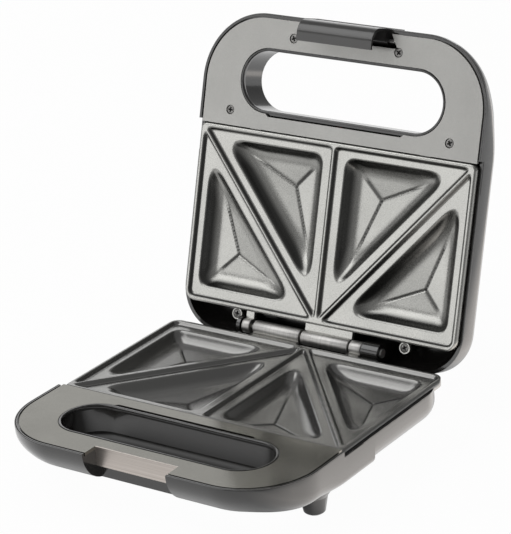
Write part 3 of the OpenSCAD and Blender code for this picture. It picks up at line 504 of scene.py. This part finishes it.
# A ring: a closed loop of (radius, height) pairs carried round a vertical axis at (x, y), or with stretch
# round two axes that lie stretch to the left and right of it, with straight runs between
def turnedRing(profile, x, y, around, stretch=0.0):
    loop = np.array(profile)
    angle = np.linspace(0.0, 2 * math.pi, around, endpoint=False) + math.pi / around
    acrossX = x + np.sign(np.cos(angle)) * stretch + loop[:, :1] * np.cos(angle)
    acrossY = y + loop[:, :1] * np.sin(angle)
    points = np.stack([acrossX, acrossY, np.repeat(loop[:, 1:], around, 1)], axis=-1).reshape(-1, 3)
    loops = np.append(np.arange(len(loop)), 0)
    grid = gridFaces(len(loop) + 1, around, closed=True)
    return points, (loops[grid // around] * around + grid % around).tolist()


# A box from its low corner to its high corner
def boxPoints(low, high):
    xs, ys, zs = zip(low, high)
    points = np.array([[x, y, z] for z in zs for y in ys for x in xs], float)
    faces = [[0, 2, 3, 1], [4, 5, 7, 6], [0, 1, 5, 4], [2, 6, 7, 3], [0, 4, 6, 2], [1, 3, 7, 5]]
    return points, faces


# Barrels of the hinge, as spans along x before they are shifted, and the webs that carry them
knuckle = {
    "radius": 5.1, "shift": -8.6, "edge": 0.5, "bevel": 0.3, "around": 48,
    "webSide": 0.05, "webBite": 1.5, "webLow": 1.0, "webHigh": 4.2, "webShort": 2.0,
}
lowerKnuckles = [(-38.5, -0.8), (39.6, 48.7)]
lidKnuckles = [(-47.9, -41.6), (0.8, 38.4)]


# Each barrel is a turned bar whose ends are rounded over edge in two steps
def knuckleRow(name, spans, place, body, turned):
    shapes = []
    radius, edge = knuckle["radius"], knuckle["edge"]
    step = edge * knuckle["bevel"]
    for start, end in spans:
        low, high = start + knuckle["shift"], end + knuckle["shift"]
        profile = [(low, radius - edge), (low + step, radius - step), (low + edge, radius),
                   (high - edge, radius), (high - step, radius - step), (high, radius - edge)]
        points, faces = turnedBar(profile, knuckle["around"])
        shapes.append((points + np.array([0.0, pose["hingeY"], 0.0]), faces))
    points, faces = gathered(shapes, turned)
    return solidPiece(name, place(points), faces, "bright_pin", body)


# Screw ears: a bored ring with a seat for its screw, an arm from the plate and a foot that joins it to the
# slab. Those at the back lie drop below the rims' top, the tabs at the front as low as the slab's underside
ear = {
    "x": 68.0, "y": 129.4, "tabY": -5.0, "radius": 4.2, "seat": 3.25, "hole": 1.5, "thick": 3.0,
    "headDrop": 1.4, "drop": 6.5, "bevel": 0.3, "armBite": 2.0, "armShort": 0.35, "armThin": 0.02,
    "footThin": 0.1, "footLow": 0.5, "footHigh": 0.6, "around": 40,
}


# Screw ears at the back, tabs at the front and the webs that carry the knuckles
def castLugs(name, spans, rimZ, place, body, turned):
    shapes = []
    radius, bevel, thin = ear["radius"], ear["bevel"], ear["armThin"]
    for x in (-ear["x"], ear["x"]):
        for y, edge, drop in ((ear["y"], plate["back"], ear["drop"]), (ear["tabY"], plate["front"], slab)):
            low = rimZ - drop - ear["thick"]
            high = low + ear["thick"]
            seat = high - ear["headDrop"]
            profile = [(ear["hole"], low), (radius, low), (radius, high - bevel), (radius - bevel, high),
                       (ear["seat"], high), (ear["seat"], seat), (ear["hole"], seat)]
            shapes.append(turnedRing(profile, x, y, ear["around"]))
            away = 1.0 if y > edge else -1.0
            near, far = edge - away * ear["armBite"], y - away * (radius - ear["armShort"])
            shapes.append(boxPoints([x - radius, min(near, far), low + thin],
                                    [x + radius, max(near, far), high - thin]))
            foot = radius - ear["footThin"]
            shapes.append(boxPoints([x - foot, min(near, edge), high - ear["footLow"]],
                                    [x + foot, max(near, edge) - thin, rimZ - slab + ear["footHigh"]]))
    front, behind = plate["back"] - knuckle["webBite"], pose["hingeY"] - knuckle["webShort"]
    bottom, ceiling = rimZ - slab + knuckle["webLow"], rimZ - slab + knuckle["webHigh"]
    for start, end in spans:
        low, high = start + knuckle["shift"], end + knuckle["shift"]
        shapes.append(boxPoints([low + knuckle["webSide"], front, bottom],
                                [high - knuckle["webSide"], behind, ceiling]))
    points, faces = gathered(shapes, turned)
    return solidPiece(name, place(points), faces, "coated_casting", body)


lowerCasting = castPlate("lowerCasting", plate["lowerRim"], inBase, "base", False)
# The lower casting has the lid's coat as a copy painted darker, as painted shade for the dimmer light on it;
# its steep walls are painted only a little darker
lowerCasting.data.materials[0] = castCoat(
    "nonStickCoatShadedCopy", rgba(0.205, 0.204, 0.199), rgba(0.35, 0.347, 0.338), 0.2, 0.9, 0.85)
lidCasting = castPlate("lidCasting", plate["lidRim"], inLid, "lid", True)
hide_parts("lower_plate")
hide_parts("upper_plate")
castLugs("lowerLugs", lowerKnuckles, plate["lowerRim"], inBase, "base", False)
castLugs("lidLugs", lidKnuckles, plate["lidRim"], inLid, "lid", True)
knuckleRow("lowerBarrels", lowerKnuckles, inBase, "base", False)
knuckleRow("lidBarrels", lidKnuckles, inLid, "lid", True)
print("cooking plates made")

# Cross-head screws. crossEdge and outerRing are radii of the mesh's rings, turns are where the cross of the
# first screw points and how much it changes from pair to pair and from side to side
screwHead = {
    "radius": 3.0, "height": 1.4, "dome": 0.35, "bevel": 0.25, "bevelDrop": 0.2, "arm": 0.42, "reach": 1.75,
    "depth": 1.0, "soft": 0.22, "softEnd": 0.2, "crossStart": 0.12, "crossEdge": 2.1, "outerRing": 2.45,
    "shank": 1.25, "length": 8.0, "tip": 0.5, "sideShade": 0.75, "sharp": 40.0, "around": 56,
    "crossSteps": 17, "turns": (0.6, 1.1, 0.5),
    "panelPlaces": [(87.4, -10.7, -0.35), (41.5, -64.8, -0.35)],
}


# A screw with the top of its head at z 0. The head is a shallow dome, -dome (r/R)^2, less a cross recess:
# depth times the greater of two products of ramps, one for each arm. dark is painted shade that its finish
# reads: 1 in the recess, a lesser value from the screw's table round the head's rim and down the shank, for
# the shadow in the gap round the head
def crossScrew(turn):
    head, around = screwHead, screwHead["around"]
    radii = np.concatenate([np.linspace(head["crossStart"], head["crossEdge"], head["crossSteps"]),
                            [head["outerRing"], head["radius"] - head["bevel"], head["radius"]]])
    angle = np.linspace(0.0, 2 * math.pi, around, endpoint=False)
    x, y = radii[:, None] * np.cos(angle), radii[:, None] * np.sin(angle)
    arms = [smooth(head["arm"] - np.abs(across), -head["soft"], head["soft"])
            * smooth(head["reach"] - np.abs(along), -head["softEnd"], head["softEnd"])
            for along, across in ((x, y), (y, x))]
    recess = np.maximum(*arms)
    z = -head["dome"] * (radii[:, None] / head["radius"]) ** 2 - head["depth"] * recess
    z[-1] -= head["bevelDrop"]
    rings = [np.stack([x, y, z], axis=-1)]
    under, end = -head["height"], -head["height"] - head["length"]
    for radius, height in ((head["radius"], under), (head["shank"], under),
                           (head["shank"], end + head["tip"]), (head["tip"], end)):
        ring = [radius * np.cos(angle), radius * np.sin(angle), np.full(around, height)]
        rings.append(np.stack(ring, axis=-1)[None])
    rows = np.concatenate(rings)
    points = np.concatenate([rows.reshape(-1, 3), [[0.0, 0.0, -head["depth"]]]])
    faces = gridFaces(len(rows), around, closed=True)[:, ::-1].tolist()
    faces += [[len(points) - 1, k, (k + 1) % around] for k in range(around)]
    faces.append([len(points) - 2 - k for k in range(around)])
    dark = np.zeros(len(points))
    dark[:recess.size] = recess.ravel()
    dark[recess.size - around:] = head["sideShade"]
    dark[-1] = 1.0
    c, s = math.cos(turn), math.sin(turn)
    points[:, :2] = points[:, :2] @ np.array([[c, s], [-s, c]])
    return points, faces, dark


# A pair of screws, left and right, at each place
def screwSet(name, places, place, body, turned, node):
    shapes, marks = [], []
    first, nextPair, otherSide = screwHead["turns"]
    for index, (x, y, z) in enumerate(places):
        for side in (-1, 1):
            points, faces, dark = crossScrew(first + nextPair * index + otherSide * side)
            shapes.append((points + np.array([side * x, y, z]), faces))
            marks.append(dark)
    points, faces = gathered(shapes, turned)
    # The screws' painted shade goes in as crease: black in the cross recess, dark round the head's rim and
    # down the shank
    marks = {"crease": np.concatenate(marks)}
    piece = solidPiece(name, place(points), faces, "dark_screw", body, screwHead["sharp"], marks)
    piece.data.materials[0] = screwFinish
    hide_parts(node)


# Where a plate's screws sit: on the ears behind it and the tabs before it
def earPlaces(rimZ):
    return [(ear["x"], ear["y"], rimZ - ear["drop"]), (ear["x"], ear["tabY"], rimZ - slab)]


screwFinish = castCoat("screwSteel", rgba(0.16, 0.155, 0.15), rgba(0.34, 0.335, 0.325), 0.34, 0.9, 0.5)
screwSet("lidPanelScrews", screwHead["panelPlaces"], inLid, "lid", True, "upper_panel_screws")
screwSet("lidPlateScrews", earPlaces(plate["lidRim"]), inLid, "lid", True, "upper_plate_screws")
screwSet("lowerPlateScrews", earPlaces(plate["lowerRim"]), inBase, "base", False, "lower_plate_screws")
print("screws made")

# Skins with rolled edges, carried round the outline over the two moulded shells. In the rolls, front is the
# rolled edge's radius at the front, corner and side are what is taken off it round the corner and along the
# side, and behind is its radius beside the cooking plates' back part
shell = {
    "half": 112.5, "front": -79.5, "frontCorner": 49.0, "backCorner": 30.0, "depth": 24.0, "proud": 0.06,
    "inner": 1.0, "lip": 0.6, "notch": 32.25, "ledgeStart": -2.0, "lipTop": -0.2, "sharp": 40.0,
    "lowerBack": 127.0, "lidBack": 144.0, "lowerLedge": -3.6, "lidLedge": -3.8, "lowerEnd": 72.0,
    "recess": 34.2, "recessDepth": 17.0, "reach": 24.3, "sideReach": 2.5, "sideTurn": (0.1, 0.5),
    "frontSteps": 8, "frontCornerSteps": 33, "sideSteps": 36, "backCornerSteps": 21, "backSteps": 10,
    "sideStart": 4.0, "sideStop": 3.0, "lipSteps": 5, "rollSteps": 13, "ledgeStep": 0.01, "recessStep": 0.02,
}
lowerRoll = {
    "front": 24.0, "corner": 13.0, "cornerTurn": (0.4, 1.571), "side": 5.0, "sideSpan": (-30.0, 0.0),
    "behind": 12.0, "behindFrom": 32.1, "rows": (31.9, 32.4),
}
lidRoll = {"front": 23.0, "side": 14.0, "sideSpan": (-50.0, 0.0)}


# Outline of a right-hand half seen from above, as rows of x, y and outward normal: along the front from
# startX, round the front corner, along the side, round the back corner and along the back to endX. marks are
# places along the side that get a row of their own
def outlineRows(startX, back, endX, marks):
    rows = []
    cornerX, cornerY = shell["half"] - shell["frontCorner"], shell["front"] + shell["frontCorner"]
    for x in np.linspace(startX, cornerX, shell["frontSteps"])[:-1]:
        rows.append((x, shell["front"], 0.0, -1.0))
    for angle in np.linspace(-math.pi / 2, 0.0, shell["frontCornerSteps"]):
        c, s = math.cos(angle), math.sin(angle)
        rows.append((cornerX + shell["frontCorner"] * c, cornerY + shell["frontCorner"] * s, c, s))
    sideEnd = back - shell["backCorner"]
    along = np.linspace(cornerY + shell["sideStart"], sideEnd - shell["sideStop"], shell["sideSteps"])
    for y in sorted(set(np.round(along, 3)) | set(marks)):
        rows.append((shell["half"], y, 1.0, 0.0))
    for angle in np.linspace(0.0, math.pi / 2, shell["backCornerSteps"]):
        c, s = math.cos(angle), math.sin(angle)
        x = shell["half"] - shell["backCorner"] * (1.0 - c)
        rows.append((x, sideEnd + shell["backCorner"] * s, c, s))
    for x in np.linspace(shell["half"] - shell["backCorner"], endX, shell["backSteps"])[1:]:
        rows.append((x, back, 0.0, 1.0))
    return np.array(rows)


# How far each row has turned from facing the front: 0 along the front, a quarter turn along the side
def turnFromFront(rows):
    return np.arctan2(rows[:, 2], -rows[:, 3])


# The skin's section at every row: down from the lip, round the rolled edge of radius roll and in over the
# flat as far as reach, then back up on the inside, so that it closes on itself. A quarter circle of radius r
# is r (1 - cos t) inward and r (1 - sin t) up from the flat, for t from 0 to a quarter turn
def skinRows(rows, roll, top):
    quarter = np.linspace(0.0, math.pi / 2, shell["rollSteps"])
    proud, inner, lip, depth = shell["proud"], shell["inner"], shell["lip"], shell["depth"]
    every = np.ones(len(rows))
    inset, height = [], []
    for turn in np.linspace(0.0, math.pi / 2, shell["lipSteps"]):
        inset.append(every * (lip * (1.0 - math.sin(turn)) - proud))
        height.append(top - lip * (1.0 - math.cos(turn)))
    for turn in quarter:
        inset.append(roll * (1.0 - math.cos(turn)) - proud * math.cos(turn))
        height.append(np.minimum(-depth + roll * (1.0 - math.sin(turn)) - proud * math.sin(turn), top - lip))
    reach = shell["reach"] + shell["sideReach"] * smooth(turnFromFront(rows), *shell["sideTurn"])
    inset += [reach, reach]
    height += [every * (-depth - proud), every * (inner - depth)]
    for turn in quarter[::-1]:
        inset.append(roll - (roll - inner) * math.cos(turn))
        height.append(np.minimum(-depth + roll - (roll - inner) * math.sin(turn), top - lip))
    inset.append(every * inner)
    height.append(top)
    inset, height = np.stack(inset, axis=1), np.stack(height, axis=1)
    x = rows[:, :1] - rows[:, 2:3] * inset
    y = rows[:, 1:2] - rows[:, 3:4] * inset
    return np.stack([x, y, height], axis=-1)


# Both halves of a skin: right-hand rows, mirrored to the left and joined into one run where joined says so
def skinPiece(name, rows, roll, top, place, body, turned, joined):
    grid = skinRows(rows, roll, top)
    mirror = grid[::-1] * np.array([-1.0, 1.0, 1.0])
    runs = [np.concatenate([mirror, grid[1:]])] if joined else [grid, mirror]
    shapes = []
    for run in runs:
        around = run.shape[1]
        faces = gridFaces(len(run), around, closed=True)[:, ::-1].tolist()
        last = (len(run) - 1) * around
        faces += [list(range(around)), list(range(last + around - 1, last - 1, -1))]
        shapes.append((run.reshape(-1, 3), faces))
    points, faces = gathered(shapes, turned)
    return solidPiece(name, place(points), faces, "black_plastic", body, shell["sharp"])


# Base: the roll tightens round the front corner, so that the sides stand upright by the plates, and its top
# steps down to a ledge beside them. It starts at the catch's notch and is open at the back
ledge = shell["ledgeStart"]
ledgeRows = (ledge - shell["ledgeStep"], ledge)
rows = outlineRows(shell["notch"], shell["lowerBack"], shell["lowerEnd"], ledgeRows + lowerRoll["rows"])
roll = (lowerRoll["front"] - lowerRoll["corner"] * smooth(turnFromFront(rows), *lowerRoll["cornerTurn"])
        - lowerRoll["side"] * smooth(rows[:, 1], *lowerRoll["sideSpan"]))
roll = np.where(rows[:, 1] > lowerRoll["behindFrom"], lowerRoll["behind"], roll)
top = np.where(rows[:, 1] >= ledge, shell["lowerLedge"], shell["lipTop"])
skinPiece("lowerSkin", rows, roll, top, inBase, "base", False, False)

# Lid: one run all round, with two more rows where its top drops into the latch's recess
rows = outlineRows(0.0, shell["lidBack"], 0.0, ledgeRows)
recessRows = [[shell["recess"] - step, shell["front"], 0.0, -1.0] for step in (shell["recessStep"], 0.0)]
split = int(np.argmax(rows[:, 0] > shell["recess"]))
rows = np.concatenate([rows[:split], recessRows, rows[split:]])
roll = lidRoll["front"] - lidRoll["side"] * smooth(rows[:, 1], *lidRoll["sideSpan"])
top = np.where(rows[:, 1] >= ledge, shell["lidLedge"], shell["lipTop"])
top = np.where((rows[:, 0] < shell["recess"]) & (rows[:, 1] < 0.0), -shell["recessDepth"], top)
skinPiece("lidSkin", rows, roll, top, inLid, "lid", True, True)

# Hand openings: a rounded rim along the edge of each, and a collar inside the foot of the lower one, which
# reaches lower towards the back. Both sections are given as distance from the opening's edge and height
grip = {
    "half": 58.9, "y": -34.0, "radius": 21.0, "around": 120, "sharp": 50.0,
    "rim": [(-0.1, -3.6), (0.5, -2.0), (0.93, -0.5), (0.8, -0.12), (0.4, -0.03), (-0.1, -0.05), (-0.5, -0.3),
            (-0.7, -0.8), (-0.75, -1.6), (-0.6, -2.5)],
    "collar": [(-0.15, -19.5), (0.4, -20.5), (0.4, -23.8), (0.1, -24.3), (-0.5, -24.5), (-1.0, -24.2),
               (-1.1, -23.6), (-0.7, -21.5)],
    "collarDrop": 3.0, "footSpan": (23.0, 23.6), "dropSpan": (-40.0, -19.0),
}


# A section carried round a hand opening. Its foot, below footSpan, is lowered by drop times an S curve that
# rises along y over dropSpan
def gripRing(name, section, place, body, turned, drop=0.0):
    profile = [(grip["radius"] + out, height) for out, height in section]
    points, faces = gathered([turnedRing(profile, 0.0, grip["y"], grip["around"], grip["half"])], turned)
    points[:, 2] -= drop * smooth(-points[:, 2], *grip["footSpan"]) * smooth(points[:, 1], *grip["dropSpan"])
    return solidPiece(name, place(points), faces, "black_plastic", body, grip["sharp"])


gripRing("lowerGripRim", grip["rim"], inBase, "base", False)
gripRing("lidGripRim", grip["rim"], inLid, "lid", True)
gripRing("lowerGripCollar", grip["collar"], inBase, "base", False, grip["collarDrop"])
print("shell skins and grip rims made")

# Floor, light and camera, in metres and degrees. floorGlow is how bright the camera sees the floor. What
# shiny parts mirror of it has a map of its own, with painted light and shade: floorSheen is how bright it is
# as a rule and mirroredShadeShare how dark the painted shadow under the toaster (underX, underY) and the
# painted darkness far in front (frontFade) get, and to the toaster's right, between rightStart and rightEnd,
# it is a strong, warm painted light
studio = {
    "floorColour": (0.9, 0.9, 0.9, 1.0), "floorRough": 0.9, "floorGlow": 0.97, "floorSheen": 0.9,
    "mirroredShadeShare": 0.72, "underX": (0.08, 0.105), "underY": (0.10, 0.14), "underMid": -0.005,
    "rightStart": (0.095, 0.135), "rightEnd": (0.2, 0.28), "rightFront": (-0.2, -0.12), "rightPaintedLight": 2.2,
    "rightTint": (1.0, 0.955, 0.915, 1.0), "frontFade": (-0.222, -0.198), "fadeDepth": 0.8,
    "floorRings": [0.2, 0.6, 1.4, 3.0, 6.0, 12.0], "floorAround": 64,
    "white": (1.0, 1.0, 1.0, 1.0), "world": 0.3,
    "softboxes": [  # name, place, aim, size, brightness as seen
        ("overheadBox", (-0.9, -0.55, 1.5), (0.0, 0.0, 0.1), (1.3, 1.3), 2.3),
        ("frontLeftBox", (-1.0, -1.5, 0.3), (0.0, 0.0, 0.14), (1.9, 1.0), 1.3),
        ("backLeftBox", (-1.5, 1.7, 0.75), (0.0, 0.0, 0.1), (2.2, 1.3), 1.0),
    ],
}


# The floor glows white for the camera, is plain white for soft light, and for mirrored and clear rays goes
# from glowing to black by a map of painted light and shade: under = inside underX times inside underY, a
# painted shadow under the toaster, far = frontFade times fadeDepth, painted darkness far in front, and right
# = a band across x that starts at rightFront, where a strong warm painted light is mixed in
def floorFinish():
    finish = Finish("floorWhite", {"Base Color": studio["floorColour"], "Roughness": studio["floorRough"]})
    direct, glossy, clear = [finish.node("ShaderNodeLightPath", {}, out=ray)
                             for ray in ("Is Camera Ray", "Is Glossy Ray", "Is Transmission Ray")]
    mirrored = glossy.orMore(clear)
    x, y = [finish.node("ShaderNodeSeparateXYZ", {}, finish.place(), out=axis) for axis in "XY"]
    underY = (y - studio["underMid"]).size().ramp(*studio["underY"])
    under = (1.0 - x.size().ramp(*studio["underX"])) * (1.0 - underY)
    right = x.ramp(*studio["rightStart"]) * (1.0 - x.ramp(*studio["rightEnd"]))
    right = right * y.ramp(*studio["rightFront"])
    far = (1.0 - y.ramp(*studio["frontFade"])) * studio["fadeDepth"]
    seen = direct * studio["floorGlow"] + mirrored * (1.0 - under) * (1.0 - far) * studio["floorSheen"]
    black = finish.node("ShaderNodeEmission", {}, Strength=0.0)
    # Painted shade in what shiny parts mirror: a shadow under the toaster and darkness far in front
    paintedShade = mirrored * under.orMore(far) * studio["mirroredShadeShare"]
    plain = Wire(finish, finish.shader.outputs[0])
    shadedFloor = finish.node("ShaderNodeMixShader", {}, paintedShade, plain, black)
    glow = finish.node("ShaderNodeEmission", {}, Color=studio["white"])
    pale = finish.node("ShaderNodeMixShader", {}, seen, shadedFloor, glow)
    # Painted light: a strong warm glow that shiny parts mirror at the toaster's right
    paintedLight = finish.node("ShaderNodeEmission", {}, Color=studio["rightTint"], Strength=studio["rightPaintedLight"])
    mixed = finish.node("ShaderNodeMixShader", {}, mirrored * right, pale, paintedLight)
    finish.tree.links.new(mixed.socket, finish.output.inputs["Surface"])
    return finish.material


# A round floor made of rings, wide enough to fill the view
def makeFloor():
    around, radii = studio["floorAround"], np.array(studio["floorRings"])
    angle = np.linspace(0.0, 2 * math.pi, around, endpoint=False)
    rings = np.stack([radii[:, None] * np.cos(angle), radii[:, None] * np.sin(angle),
                      np.zeros((len(radii), around))], axis=-1)
    points = np.concatenate([rings.reshape(-1, 3), [[0.0, 0.0, 0.0]]])
    faces = gridFaces(len(radii), around, closed=True)[:, ::-1].tolist()
    faces += [[len(points) - 1, k, (k + 1) % around] for k in range(around)]
    mesh = bpy.data.meshes.new("floor")
    mesh.from_pydata(points.tolist(), [], faces)
    mesh.materials.append(floorFinish())
    floor = bpy.data.objects.new("floor", mesh)
    bpy.context.scene.collection.objects.link(floor)


# White for the camera, dim for everything else
def makeWorld():
    world = bpy.data.worlds.new("studio")
    bpy.context.scene.world = world
    world.use_nodes = True
    tree = world.node_tree
    tree.nodes.clear()
    output = tree.nodes.new("ShaderNodeOutputWorld")
    mixed = tree.nodes.new("ShaderNodeMixShader")
    seen = tree.nodes.new("ShaderNodeLightPath")
    tree.links.new(seen.outputs["Is Camera Ray"], mixed.inputs[0])
    for slot, strength in ((1, studio["world"]), (2, 1.0)):
        light = tree.nodes.new("ShaderNodeBackground")
        light.inputs["Color"].default_value = studio["white"]
        light.inputs["Strength"].default_value = strength
        tree.links.new(light.outputs[0], mixed.inputs[slot])
    tree.links.new(mixed.outputs[0], output.inputs["Surface"])


# A softbox that looks as bright as given has the energy brightness times pi times its area
def makeLights():
    for name, place, aim, size, brightness in studio["softboxes"]:
        light = bpy.data.lights.new(name, "AREA")
        light.shape = "RECTANGLE"
        light.size, light.size_y = size
        light.energy = brightness * math.pi * size[0] * size[1]
        lamp = bpy.data.objects.new(name, light)
        lamp.location = place
        lamp.rotation_euler = (Vector(aim) - Vector(place)).to_track_quat("-Z", "Y").to_euler()
        bpy.context.scene.collection.objects.link(lamp)


camera = {"place": (0.90695, -1.24718, 0.73277), "turn": (68.25503, 3.68872, 34.42160), "lens": 172.681,
          "sensor": 36.0, "nearest": 0.05, "farthest": 40.0}


def makeCamera():
    data = bpy.data.cameras.new("view")
    data.lens = camera["lens"]
    data.sensor_width = camera["sensor"]
    data.clip_start, data.clip_end = camera["nearest"], camera["farthest"]
    seat = bpy.data.objects.new("view", data)
    seat.location = camera["place"]
    seat.rotation_euler = [math.radians(v) for v in camera["turn"]]
    bpy.context.scene.collection.objects.link(seat)
    bpy.context.scene.camera = seat


makeFloor()
makeWorld()
makeLights()
makeCamera()
bpy.context.scene.view_settings.view_transform = "Standard"
print("studio ready")
